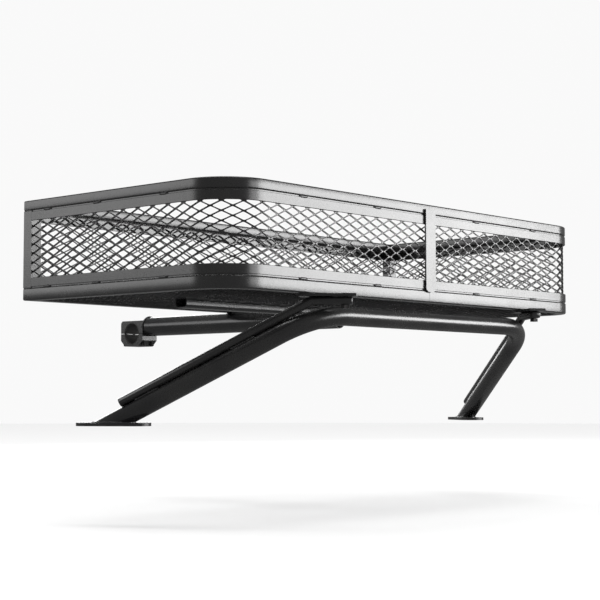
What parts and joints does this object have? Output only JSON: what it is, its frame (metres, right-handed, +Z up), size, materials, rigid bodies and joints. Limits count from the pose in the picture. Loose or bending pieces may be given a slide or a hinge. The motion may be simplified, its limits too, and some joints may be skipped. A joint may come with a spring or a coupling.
{
  "type": "roof cargo basket",
  "caption": "Open rectangular cargo basket with expanded-metal floor and walls between tube rails, on a bent rear hoop with splayed legs and a central clamped front arm.",
  "frame": {"origin": "middle of the top face of the expanded-metal cargo floor", "axes": "+X to the vehicle's right, +Y towards the front of the vehicle, +Z up"},
  "size_m": [0.9656, 0.7692, 0.348],
  "materials": {
    "black_powder_coat": "semi-gloss black powder coat on steel",
    "black_oxide_hardware": "oiled black oxide on steel",
    "liner_rubber": "matt black"
  },
  "bodies": {
    "root": {"left_bottom_rail": "black_powder_coat", "right_bottom_rail": "black_powder_coat", "left_top_rail": "black_powder_coat", "right_top_rail": "black_powder_coat", "front_bottom_rail": "black_powder_coat", "front_top_rail": "black_powder_coat", "left_lower_strip": "black_powder_coat", "right_lower_strip": "black_powder_coat", "left_upper_strip": "black_powder_coat", "right_upper_strip": "black_powder_coat", "front_lower_strip": "black_powder_coat", "front_upper_strip": "black_powder_coat", "left_wall_mesh": "black_powder_coat", "right_wall_mesh": "black_powder_coat", "front_wall_mesh": "black_powder_coat", "left_front_post": "black_powder_coat", "right_front_post": "black_powder_coat", "rear_strap": "black_powder_coat", "floor_mesh": "black_powder_coat", "floor_cross_bar": "black_powder_coat", "rear_hoop": "black_powder_coat", "left_leg_stay": "black_powder_coat", "right_leg_stay": "black_powder_coat", "left_rail_lug": "black_powder_coat", "right_rail_lug": "black_powder_coat", "front_arm": "black_powder_coat", "clamp_upper": "black_powder_coat", "clamp_lower": "black_powder_coat", "left_foot_plate": "black_powder_coat", "right_foot_plate": "black_powder_coat", "left_stay_bolt": "black_oxide_hardware", "right_stay_bolt": "black_oxide_hardware", "left_rear_clamp_bolt": "black_oxide_hardware", "left_front_clamp_bolt": "black_oxide_hardware", "right_rear_clamp_bolt": "black_oxide_hardware", "right_front_clamp_bolt": "black_oxide_hardware", "clamp_liner": "liner_rubber"}
  },
  "joints": []
}
